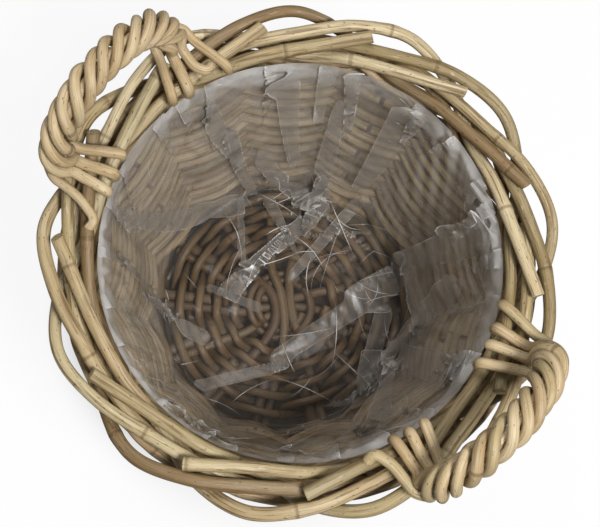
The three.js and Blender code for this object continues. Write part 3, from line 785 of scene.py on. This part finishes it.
passes = wall_turns * stake_count
for k in range(wall_weavers):
    luck = np.random.default_rng(400 + k)
    first, last = (2 * math.floor(passes * end / wall_weavers / 2 + 0.5) for end in (k, k + 1))
    path = wall_weaver_path(first + butt_share, last - butt_share, coarse_step)
    path = wobble(path, luck, amount=0.0003)
    rod = tube(path, shown_weaver_size, luck, knuckle_gap=0.17, sides=weaver_sides)
    show(f"rod_side_weaver_{k + 1}", rod, wall_skin, [f"side_weaver_{k + 1}"])
print("wall turns:", wall_turns, "pitch:", round(wall_pitch, 5))

# %% [markdown]
# ## Rope handles
# Four strands wind left-handed round a bow that stands on the border and leans out a little. Below the
# rope they fan out over the border, and end at its inner edge: most bend down behind it, and three curl
# along it. A rope could be one twisted mesh, but its strands are real rods that go their own ways at
# the ends, so each is a path of its own: the bow's line, with a circle of cosine and sine round it.

# %% The handles' sizes, and what lies under their feet
handle_top, handle_lean, handle_foot_radius, handle_foot = 0.378, 0.012, 0.205, math.radians(19)
handle_turns = {"right": math.radians(-2.5), "left": math.radians(182)}
rope_turns, rope_lift = 3, 0.007
# The CAD model's rope has ten flat steps a turn, and is so much wider that its strands still clear
cad_rope_steps = 10
rope_radius = (strand_size + clearance) / math.cos(math.pi / cad_rope_steps)
lane = (strand_size + clearance) / 2
lane_reach = (3 * lane + strand_size / 2) / rim_radius
arch_steps = 720


def border_between(low, high):
    """The highest and the innermost middle line of the border rods between two angles."""
    passed = np.linspace(0, border_rows[-1, 0], 400)
    ranks_out = np.interp(passed, border_rows[:, 0], border_rows[:, 1])
    ranks_up = np.interp(passed, border_rows[:, 0], border_rows[:, 2])
    index = np.arange(stake_count)[:, None]
    place = border_point(index + passed, ranks_out, ranks_up)
    from_middle = np.arctan2(place[..., 1], place[..., 0]) - (low + high) / 2
    place = place[np.cos(from_middle) > math.cos((high - low) / 2)]
    return place[:, 2].max(), np.hypot(place[:, 0], place[:, 1]).min()


def arch_line(foot, up_reach, share):
    """Places and directions on the half ellipse, where share is the share of its length. A place is the
    middle between the feet, plus the sine of an angle upwards and minus its cosine along."""
    between_feet, to_foot = foot * (1, 0, 1), foot * (0, 1, 0)

    def place_at(angle):
        return between_feet + np.sin(angle) * up_reach - np.cos(angle) * to_foot

    angle = np.linspace(0, math.pi, arch_steps + 1)
    along = lengths_along(place_at(angle[:, None]))
    angle = np.interp(share, along / along[-1], angle)[:, None]
    return place_at(angle), unit(np.cos(angle) * up_reach + np.sin(angle) * to_foot)


# %% Where the strands end
# Each foot's four tails from the leftmost to the rightmost: how far a tail turns aside, in degrees, how
# deep its end bends down inside the border, and how far it curls along the border instead, in mm
tail_ends = {
    ("left", 1): ((26, 2, 13), (9, 8, 0), (-4, 12, 0), (-14, 4, 0)),
    ("left", -1): ((14, 12, 0), (6, 14, 0), (-6, 5, -12), (-22, 9, 0)),
    ("right", 1): ((22, 8, 0), (10, 10, 0), (-2, 5, 0), (-13, 12, 0)),
    ("right", -1): ((9, 6, 0), (3, 12, 0), (-6, 14, 0), (-15, 3, -12)),
}
curl_onset = np.array([0, 0, 0, 0.45, 1])
inner_shoulder, shoulder_run, fan_start = 0.012, 0.009, 0.004
tail_gap = 0.001


def tail_knots(name, turn, side, phase):
    """A strand's way from the rope's end over the border to its cut end. Away from the rope the four
    tails fan out, each by its own angle, and lie as high as the border rods under them ask."""
    angle = side * handle_foot
    edge = border_between(turn + angle - lane_reach, turn + angle + lane_reach)[1] - stake_size / 2
    is_outer = math.sin(phase) > 0
    lane_number = side * np.sign(math.cos(phase)) * (3 if is_outer else 1)
    fan, drop, curl = tail_ends[name, side][int((3 - lane_number) / 2)]
    drop, curl = drop / 1000, curl / 1000
    past_edge, dip = ((0.001, 0.004), 0) if curl else ((-0.003, -0.004), 0.003)
    shoulder = handle_foot_radius - (0 if is_outer else inner_shoulder)
    ends = [edge + shoulder_run, edge + past_edge[0], edge + past_edge[1]]
    out = np.array([shoulder, shoulder - shoulder_run, *ends])
    run = np.clip(shoulder - fan_start - out, 0, None)
    left = lane_number * lane + run * math.tan(math.radians(fan)) + curl_onset * curl
    aside = angle + left / out
    spare = (strand_size + stake_size) / 2 / rim_radius
    top = border_between(turn + aside.min() - spare, turn + aside.max() + spare)[0]
    tail = top + stake_size / 2 + strand_size / 2 + tail_gap
    return polar(aside, out, tail + np.array([0.4 * rope_lift, 0, 0, -dip, -drop]))


# %% The two handles
rope_slip, rope_slack, slack_waves = 0.13, 0.06, 5
bow_steps, steps_a_turn, strand_step = 60, 24, 0.002
first_seed = {"right": 500, "left": 520}
least_tint, tint_span = {"right": 0.4, "left": 0.28}, 0.6

for side, turn in handle_turns.items():
    feet = [turn + foot * handle_foot for foot in (-1, 1)]
    tops = [border_between(foot - lane_reach, foot + lane_reach)[0] for foot in feet]
    rope_end = max(tops) + stake_size / 2 + clearance + strand_size / 2 + rope_lift
    foot = polar(handle_foot, handle_foot_radius, rope_end)
    up_reach = np.array([handle_lean, 0, handle_top - rope_radius - strand_size / 2 - rope_end])
    outward = unit(np.cross([0.0, 1.0, 0.0], up_reach))
    spin = np.array([[math.cos(turn), -math.sin(turn), 0], [math.sin(turn), math.cos(turn), 0], [0, 0, 1]])
    luck = np.random.default_rng(first_seed[side])
    bow = arch_line(foot, up_reach, np.linspace(0, 1, bow_steps))[0] @ spin.T
    rod = tube(bow, strand_size, luck)
    show(f"rod_{side}_bow", rod, handle_skin, [f"handle_{side}_bow"])
    share = np.linspace(0, 1, rope_turns * steps_a_turn + 1)
    middle, tangent = arch_line(foot, up_reach, share)
    away = np.cross(outward, tangent)
    for k in range(4):
        luck = np.random.default_rng(first_seed[side] + 1 + k)
        phase = math.pi / 4 + k * math.pi / 2
        slip = rope_slip * np.sin(2 * math.pi * share * luck.uniform(1.5, 3) + luck.uniform(*any_phase))
        roll = (phase - 2 * math.pi * rope_turns * share + slip * np.sin(math.pi * share))[:, None]
        slack = rope_slack * np.sin(2 * math.pi * share * slack_waves + luck.uniform(*any_phase))[:, None]
        rope = middle + rope_radius * (1 + slack) * (np.cos(roll) * away + np.sin(roll) * outward)
        before = tail_knots(side, turn, -1, phase)[::-1]
        after = tail_knots(side, turn, 1, phase)
        path = smooth_path(np.vstack([before, rope, after]), strand_step) @ spin.T
        rod = tube(path, strand_size * luck.uniform(0.94, 1.06), luck, knuckle_gap=0.16, slant=(0.3, -0.3))
        rod["tint"] = least_tint[side] + rod["tint"] * tint_span
        name = f"{side}_strand_{k + 1}"
        show(f"rod_{name}", rod, handle_skin, [f"handle_{name}"])
    print(side, "rope ends at", round(rope_end, 4), "its last strand is", round(lengths_along(path)[-1], 3))

# %% [markdown]
# ## Film liner
# The liner is thin clear film. It shows by what it does to the light: a milky veil where it lies once, a
# thicker one where a fold lays it three times, and bright lines where it is creased. It was flat before it
# was put in, so every point of it is planned on a flat disc, whose radius is the film's way from the middle
# of the base up to the border. The disc is wider round its edge than the basket is, and the spare film
# lies in folds. Cloth could be dropped into the basket, but it hangs in small even wrinkles, and this
# film is stiff and lies in flat bands. So each fold is a formula.

# %% The liner's section, and the way from the flat disc to the basket
inside_wall = -(over_stake_wale + wale_size / 2 + clearance)
over_base = over_stake + weaver_size / 2 + clearance
film_corner = weave_floor - weaver_size / 2
corner_radius = wall_radius(film_corner, inside_wall)
corner_bend, edge_gap, edge_rise, top_gap = 0.011, 0.002, 0.014, 0.0055
film_leaves = wall_top - 0.045
film_edge_radius = rim_radius + border_rows[:, 1].min() * border_pitch - stake_size / 2 - edge_gap
floor_out = (corner_radius - corner_bend) * np.arange(4) / 3
section = np.vstack([
    np.column_stack([floor_out, base_height(floor_out) + over_base]),
    [corner_radius, film_corner + clearance],
    [wall_radius(film_leaves, inside_wall), film_leaves],
    [wall_radius(wall_top, inside_wall) - top_gap, wall_top],
    [film_edge_radius, wall_top + edge_rise],
])
ways = lengths_along(section)
film_reach = ways[-1]
print("film from the middle to the border:", round(film_reach, 3))


def film_point(place, lift):
    """From a place on the flat disc to the basket. The distance from the disc's middle is the way along
    the section. The lift is up over the base, inwards on the wall, and turns over between the two."""
    way = np.minimum(np.linalg.norm(place, axis=-1), film_reach)
    turn = np.arctan2(place[..., 1], place[..., 0])
    tilt = np.clip((way - floor_out[2]) / floor_out[2], 0, 1) * math.pi / 2
    out = np.interp(way, ways, section[:, 0]) - lift * np.sin(tilt)
    height = np.interp(way, ways, section[:, 1]) + lift * np.cos(tilt)
    return np.stack([out * np.cos(turn), out * np.sin(turn), height], axis=-1)


def disc_place(turn, share):
    """A place on the disc at a turn in degrees and a share of the way up to the wall's top."""
    turn = np.radians(turn)
    return np.stack([np.cos(turn), np.sin(turn)], axis=-1) * np.asarray(share)[..., None] * ways[-2]


# %% [markdown]
# ### The folds
# The large folds were placed where the photograph shows them. Each is a line from one place to
# another, and a place is a turn round the basket and a share of the way up the wall. Pleats round the edge
# take up the film that is left over there. The pleats, a few small folds and a crumpled place are drawn
# at random, with a fixed seed, so that every run gives the same film.

# %% The folds: two ends, the width of the triple band at each end in mm, and its lift in mm
film_folds = [
    ((135, 1.03), (125, 0.46), 26, 10, 6),
    ((116, 0.94), (110, 0.22), 12, 24, 6),
    ((95, 1.04), (98, 0.44), 34, 12, 7),
    ((161, 0.97), (148, 0.46), 22, 14, 5),
    ((144, 0.62), (115, 0.28), 14, 22, 6),
    ((206, 0.99), (139, 0.3), 10, 26, 6),
    ((108, 0.3), (218, 0.2), 20, 8, 4),
    ((94, 0.46), (132, 0.05), 14, 8, 4),
    ((61, 0.5), (-71, 0.2), 28, 14, 6),
    ((51, 1.04), (64, 0.36), 40, 16, 9),
    ((59, 0.42), (28, 0.55), 20, 24, 6),
    ((41, 0.82), (-10, 0.28), 30, 22, 7),
    ((7, 1.04), (18, 0.36), 38, 20, 8),
    ((-15, 0.36), (45, 0.3), 18, 22, 5),
    ((-97, 0.36), (-35, 0.16), 16, 10, 4),
    ((-139, 0.44), (-109, 0.22), 14, 18, 5),
    ((-71, 0.82), (-7, 0.48), 26, 20, 7),
    ((-145, 0.9), (-128, 0.28), 10, 24, 6),
    ((-94, 1.0), (-43, 0.91), 14, 26, 5),
    ((-39, 0.84), (7, 0.97), 20, 14, 5),
    ((-64, 0.47), (-16, 1.0), 16, 24, 5),
    ((-113, 0.95), (-70, 1.0), 14, 10, 4),
    ((125, 0.21), (-144, 0.15), 5, 14, 4),
    ((140, 0.33), (110, 0.13), 14, 4, 5),
    ((113, 0.5), (117, 0.2), 18, 5, 6),
    ((28, 0.55), (-12, 0.32), 14, 24, 5),
    ((31, 0.34), (-19, 0.79), 8, 28, 6),
    ((155, 0.8), (142, 0.3), 20, 8, 5),
    ((141, 0.47), (101, 0.29), 10, 16, 4),
]
placed_folds = len(film_folds)
crumple_turn, crumple_share = 125, 0.25
pleat_count = 26
luck = np.random.default_rng(31)
# Pleats, from past the edge down the wall
for turn in np.arange(pleat_count) * 360 / pleat_count + luck.uniform(-5, 5, pleat_count):
    depth, width = luck.uniform(0.62, 0.86), luck.uniform(8, 22)
    film_folds.append(((turn, 1.07), (turn + luck.uniform(-7, 7), depth), width, width * 0.4, 4))
# The crumpled place
for _ in range(3):
    start = (luck.normal(crumple_turn, 22), luck.normal(crumple_share, 0.05))
    end = (luck.normal(crumple_turn, 30), luck.normal(crumple_share, 0.09))
    film_folds.append((start, end, luck.uniform(3, 9), luck.uniform(2, 6), 3))
# Small folds that run towards the middle
for _ in range(6):
    start, length = (luck.normal(35, 80), luck.uniform(0.2, 0.6)), luck.uniform(0.12, 0.3)
    end = (start[0] + luck.normal(0, 25), max(0.05, start[1] - length))
    film_folds.append((start, end, luck.uniform(4, 12), luck.uniform(4, 12), 3))
print("folds placed by eye:", placed_folds, "and in all:", len(film_folds))

# %% [markdown]
# ### Laying the film down
# A fold pushes the film across its line by a sine wave, so far that the film turns over twice: it goes
# ahead, back and ahead again, and each of the three layers lies a little higher. Each fold in its turn
# pushes what is there already, as hands do. Between the folds the film isn't flat either: it has faint
# crinkles, each a zigzag wave that fades out round its middle.

# %% Crinkles and folds as formulas
crinkle_count, crinkle_slope = 70, 0.16
fold_fade = 0.12
edge_sharpness = 1.05


def random_crinkle():
    """A heading, a wave's length, a middle on the disc, how far the crinkle reaches, and a phase."""
    heading, length = unit(luck.normal(0, 1, 2)), luck.uniform(0.012, 0.05)
    middle = disc_place(luck.uniform(0, 360), math.sqrt(luck.uniform(0, 1)))
    return heading, length, middle, luck.uniform(0.03, 0.08), luck.uniform(0, 6)


def crinkle_lift(place, crinkles):
    """The sum of all crinkles: a zigzag along the heading, times a bell round the middle."""
    lift = np.zeros(place.shape[:-1])
    for heading, length, middle, reach, phase in crinkles:
        bell = np.exp(-((place - middle) ** 2).sum(-1) / (2 * reach**2))
        wave = place @ heading / length + phase
        lift += bell * np.abs(wave - np.round(wave)) * length * crinkle_slope
    return lift


def room_across(place, ahead):
    """How much narrower than on the disc the film lies in the basket, across a heading. Along a radius
    it keeps its length, and round the middle it is squeezed by the section's radius over its way."""
    way = np.linalg.norm(place, axis=-1) + 1e-9
    round_share = np.abs(place @ ahead) / way
    squeeze = np.interp(way, ways, section[:, 0]) / way
    return 1 - round_share**2 + round_share**2 * squeeze


def fold_over(place, start, end, first_width, last_width, height):
    """One fold: the places that it pushes, how much it lifts them, and from 0 to 1 how near they are to
    its edges and if they lie in it. With a place's distance aside from -1 to 1, the push is the sine of
    pi times it. The film stands on edge where the push's slope takes up the film's own."""
    start, end = disc_place(*start), disc_place(*end)
    ahead = unit(end - start)
    across = np.array([-ahead[1], ahead[0]])
    along = ((place - start) @ ahead) / np.linalg.norm(end - start)
    width = np.interp(along, [0, 1], [first_width, last_width]) / 1000 / room_across(place, ahead)
    size = width / 1.1
    fade = np.clip(np.minimum(along, 1 - along) / fold_fade, 0, 1)
    fade = fade * fade * (3 - 2 * fade)
    aside = (place - start) @ across / size
    inside = np.abs(aside) < 1
    push = np.where(inside, np.sin(math.pi * aside), 0) * size * fade
    slope = 1 - math.pi * fade * np.cos(math.pi * aside)
    near_edge = np.where(inside, np.exp(-((slope / edge_sharpness) ** 2)), 0) * fade
    in_fold = np.clip((0.95 - np.abs(aside)) / 0.35, 0, 1) * fade
    rise = np.clip((aside + 0.4) / 0.8, 0, 1) * np.clip((1 - aside) / 0.6, 0, 1)
    return place - push[..., None] * across, rise * height / 1000 * fade, near_edge, in_fold


def lay(place):
    """Crinkles the film and makes all folds one after the other. Film that would pass the border is
    held at it, and lies flat there."""
    lift = crinkle_lift(place, crinkles)
    edge, folded = np.zeros(place.shape[:-1]), np.zeros(place.shape[:-1])
    for fold in film_folds:
        place, rise, near_edge, in_fold = fold_over(place, *fold)
        lift += rise
        edge, folded = np.maximum(edge, near_edge), np.maximum(folded, in_fold)
    way = np.linalg.norm(place, axis=-1, keepdims=True)
    place = place * np.minimum(1, film_reach / (way + 1e-9))
    return place, lift * np.clip((film_reach - way[..., 0]) / 0.01, 0.1, 1), edge, folded


crinkles = [random_crinkle() for _ in range(crinkle_count)]

# %% The film's grid of rings and turns, which is closer over the base, where the small folds are
ring_count, turn_count = 172, 560
ring = np.interp(np.arange(1, ring_count + 1) / ring_count, [0, 0.5, 1], [0, 0.4, film_reach / ways[-2]])
turn = np.arange(turn_count) * 360 / turn_count
place, lift, edge, folded = lay(disc_place(*np.meshgrid(turn, ring)))
film_points = film_point(place, lift).reshape(-1, 3)
number = np.arange(ring_count * turn_count).reshape(ring_count, turn_count)
beside = np.roll(number, -1, axis=1)
quads = np.stack([number[:-1], number[1:], beside[1:], beside[:-1]], axis=-1).reshape(-1, 4)
values = {"edge": edge, "folded": folded, "way": np.linalg.norm(place, axis=-1) / film_reach}
print("share of the film that lies in folds:", round(float((folded > 0.5).mean()), 2))

# %% [markdown]
# ### Hairlines
# Film that was crushed once keeps fine creases that no grid of this size can hold. They are ribbons
# that lie on the film, less than a millimetre wide, bowed a little and pointed at both ends, and they are
# painted white as the creases' glints. Most are over the base, where the film was crushed most.

# %% Hairlines as ribbons on the film
hair_count, hair_steps = 85, 16
ramp = np.linspace(0, 1, hair_steps)


def hairline():
    """One ribbon. Its middle line is a sum of equal steps whose heading turns evenly, and its width is
    the sine of pi times the share of its length."""
    if luck.uniform() < 0.7:
        start = disc_place(luck.normal(60, 80), luck.uniform(0.14, 0.5))
    else:
        start = disc_place(luck.uniform(0, 360), luck.uniform(0.4, 0.95))
    length, bow = luck.uniform(0.015, 0.08), luck.normal(0, 0.7)
    angle = luck.uniform(0, 2 * math.pi) + bow * ramp
    line = start + np.cumsum(np.stack([np.cos(angle), np.sin(angle)], -1) * length / hair_steps, axis=0)
    half_width = luck.uniform(0.0001, 0.0004) * np.sin(math.pi * ramp)[:, None]
    aside = np.stack([-np.sin(angle), np.cos(angle)], -1) * half_width
    lift = np.full((hair_steps, 2), 0.001 + luck.uniform(0, 0.006))
    return film_point(np.stack([line - aside, line + aside], axis=1), lift)


hair = np.array([hairline() for _ in range(hair_count)])
hair_number = len(film_points) + np.arange(hair_count * hair_steps * 2).reshape(hair_count, hair_steps, 2)
strips = np.stack([
    hair_number[:, :-1, 0], hair_number[:, 1:, 0], hair_number[:, 1:, 1], hair_number[:, :-1, 1],
], axis=-1).reshape(-1, 4)
# Painted glint: an edge of 1.5 makes each ribbon white and opaque in the film's finish
hair_values = {"edge": 1.5, "folded": 0, "way": 0.5}
print("hairlines:", hair_count)

# %% The film's mesh, with its middle closed
mesh = bpy.data.meshes.new("film")
faces = quads.tolist() + [number[0].tolist()] + strips.tolist()
mesh.from_pydata(np.vstack([film_points, hair.reshape(-1, 3)]).tolist(), [], faces)
for key, value in values.items():
    values[key] = np.append(value.ravel(), np.full(hair_number.size, hair_values[key]))
carry(mesh, values)
# Across a fold's edge the film turns back on itself, and smooth shading would smear the two sides
smooth_below = 0.75
is_smooth = np.ones(len(faces), bool)
is_smooth[:len(quads)] = values["edge"][quads].max(axis=1) < smooth_below
mesh.polygons.foreach_set("use_smooth", is_smooth)
mesh.update()
liner = in_scene("film", mesh)
print("film area:", round(sum(face.area for face in mesh.polygons), 3), "faces:", len(faces))

# %% [markdown]
# ### The film's finish
# Clear film could be glass, but a single thin sheet neither bends light nor tints it. What the eye gets is
# how much of it is seen instead of the rods behind, and that is Alpha: little over the base, more on the
# wall, and most at fold edges and round the rim. There its colour also goes from grey to white, a painted
# highlight.

# %% The film's finish
crumple_middle = tuple(film_point(disc_place(crumple_turn, crumple_share), 0.006).tolist())
film_grey, film_white = paint(197, 189, 179), paint(248, 246, 243)
finish = Finish("film")
place = finish.node("ShaderNodeTexCoord", output="Object")
haze = finish.noise(place, 14.0, 4.0, 0.6, 0.8)
breaks = finish.noise(place, 38.0, 2.0).band(0.38, 0.6)
way = finish.attribute("way")
on_wall = way.band(0.28, 0.44)
rim = way.band(0.84, 0.99)
in_fold = finish.attribute("folded") * (0.05 - on_wall * 0.23)
veil = 0.04 + on_wall * 0.34 + haze.band(0.35, 0.75) * (0.07 + on_wall * 0.05) + in_fold
from_crumple = finish.distance(place, crumple_middle).band(0.02, 0.07)
# Painted glint: fold edges are painted white and more opaque, most at the crumpled place
sharp = finish.attribute("edge").band(0.5, 1.0) * (0.35 + breaks * 0.65) * (1.6 - from_crumple * 0.6)
alpha = veil + rim * haze.band(0.3, 0.65) * 0.4 + sharp * 0.55
# Painted highlight: the colour goes from grey to white round the rim and at fold edges
colour = finish.mix(rim * 0.8 + sharp * 0.9, film_grey, film_white)
dents = finish.node(
    "ShaderNodeTexVoronoi", {"feature": "DISTANCE_TO_EDGE"}, {"Vector": place, "Scale": 26.0}, "Distance",
)
bump = finish.node("ShaderNodeBump", None, {"Strength": 0.25, "Distance": 0.006, "Height": dents})
mesh.materials.append(finish.surface({
    "Base Color": colour, "Roughness": 0.24, "Alpha": alpha, "Specular IOR Level": 0.9, "Normal": bump,
}))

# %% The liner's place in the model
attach(liner, "root")
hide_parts("film_liner")

# %% [markdown]
# ## Floor and light
# The photograph's background is plain white. More light would wash the basket out, so the floor and the
# world are white to the camera alone, by Light Path's Is Camera Ray, and grey to all other rays. Near the
# basket the floor is a plain surface that takes its shadow, and further out it glows up to white. Under
# the basket a painted shadow makes the floor dark brown, as the photograph shows between the rods of the
# base.

# %% Floor
floor_half = 4.0
floor_grey, floor_white, painted_shadow_under_basket = paint(145, 143, 140), paint(255, 255, 255), paint(66, 52, 38)
floor_mesh = bpy.data.meshes.new("floor")
corners = np.array([(-1, -1, 0), (1, -1, 0), (1, 1, 0), (-1, 1, 0)]) * floor_half
floor_mesh.from_pydata(corners.tolist(), [], [(0, 1, 2, 3)])
floor = in_scene("floor", floor_mesh)

finish = Finish("floor")
seen = finish.node("ShaderNodeLightPath", output="Is Camera Ray")
from_middle = finish.distance(finish.node("ShaderNodeTexCoord", output="Object"), (0.0, 0.0, 0.0))
floor_colour = finish.mix(seen, floor_grey, floor_white)
# Painted shadow: the floor is dark brown under the basket, for every ray
floor_colour = finish.mix(from_middle.band(0.12, 0.145), painted_shadow_under_basket, floor_colour)
diffuse = finish.node("ShaderNodeBsdfDiffuse", None, {"Color": floor_colour})
glow = finish.node("ShaderNodeEmission", None, {"Color": floor_white, "Strength": 1.0})
glow_share = seen * from_middle.band(0.15, 0.24) * 0.9
mixed = finish.node("ShaderNodeMixShader", None, {0: glow_share, 1: diffuse, 2: glow})
floor_mesh.materials.append(finish.end_with(mixed))
print("floor:", 2 * floor_half, "m wide")

# %% World
world_strength = 0.11
world = bpy.data.worlds.new("world")
bpy.context.scene.world = world
world.use_nodes = True
background = world.node_tree.nodes["Background"]
background.inputs["Color"].default_value = floor_white
rays = world.node_tree.nodes.new("ShaderNodeLightPath")
strength = world.node_tree.nodes.new("ShaderNodeMapRange")
strength.inputs["To Min"].default_value = world_strength
world.node_tree.links.new(rays.outputs["Is Camera Ray"], strength.inputs["Value"])
world.node_tree.links.new(strength.outputs["Result"], background.inputs["Strength"])
print("world:", world_strength)

# %% [markdown]
# ### Lamps
# The photograph's light comes from above, and its shadows are soft. One high lamp is the key, small
# enough to draw the grain. A larger and weaker one on the other side fills the shadows.

# %% Two lamps


def lamp(name, place, aim, size, power):
    """A square soft lamp at a place, turned to what it lights."""
    light = bpy.data.lights.new(name, "AREA")
    light.size = size
    light.energy = power
    made = in_scene(name, light)
    back = unit(np.subtract(place, aim))
    side = unit(np.cross([0.0, 1.0, 0.1], back))
    made.matrix_world = turned_to(side, np.cross(back, side), back, place)
    print(name, "lamp:", power, "W")


lamp("key", place=(0.9, -0.2, 2.2), aim=(0, 0, 0.2), size=0.5, power=41)
lamp("fill", place=(-0.9, 0.6, 2.0), aim=(0.05, -0.05, 0.15), size=1.0, power=13)

bpy.context.scene.view_settings.view_transform = "Standard"
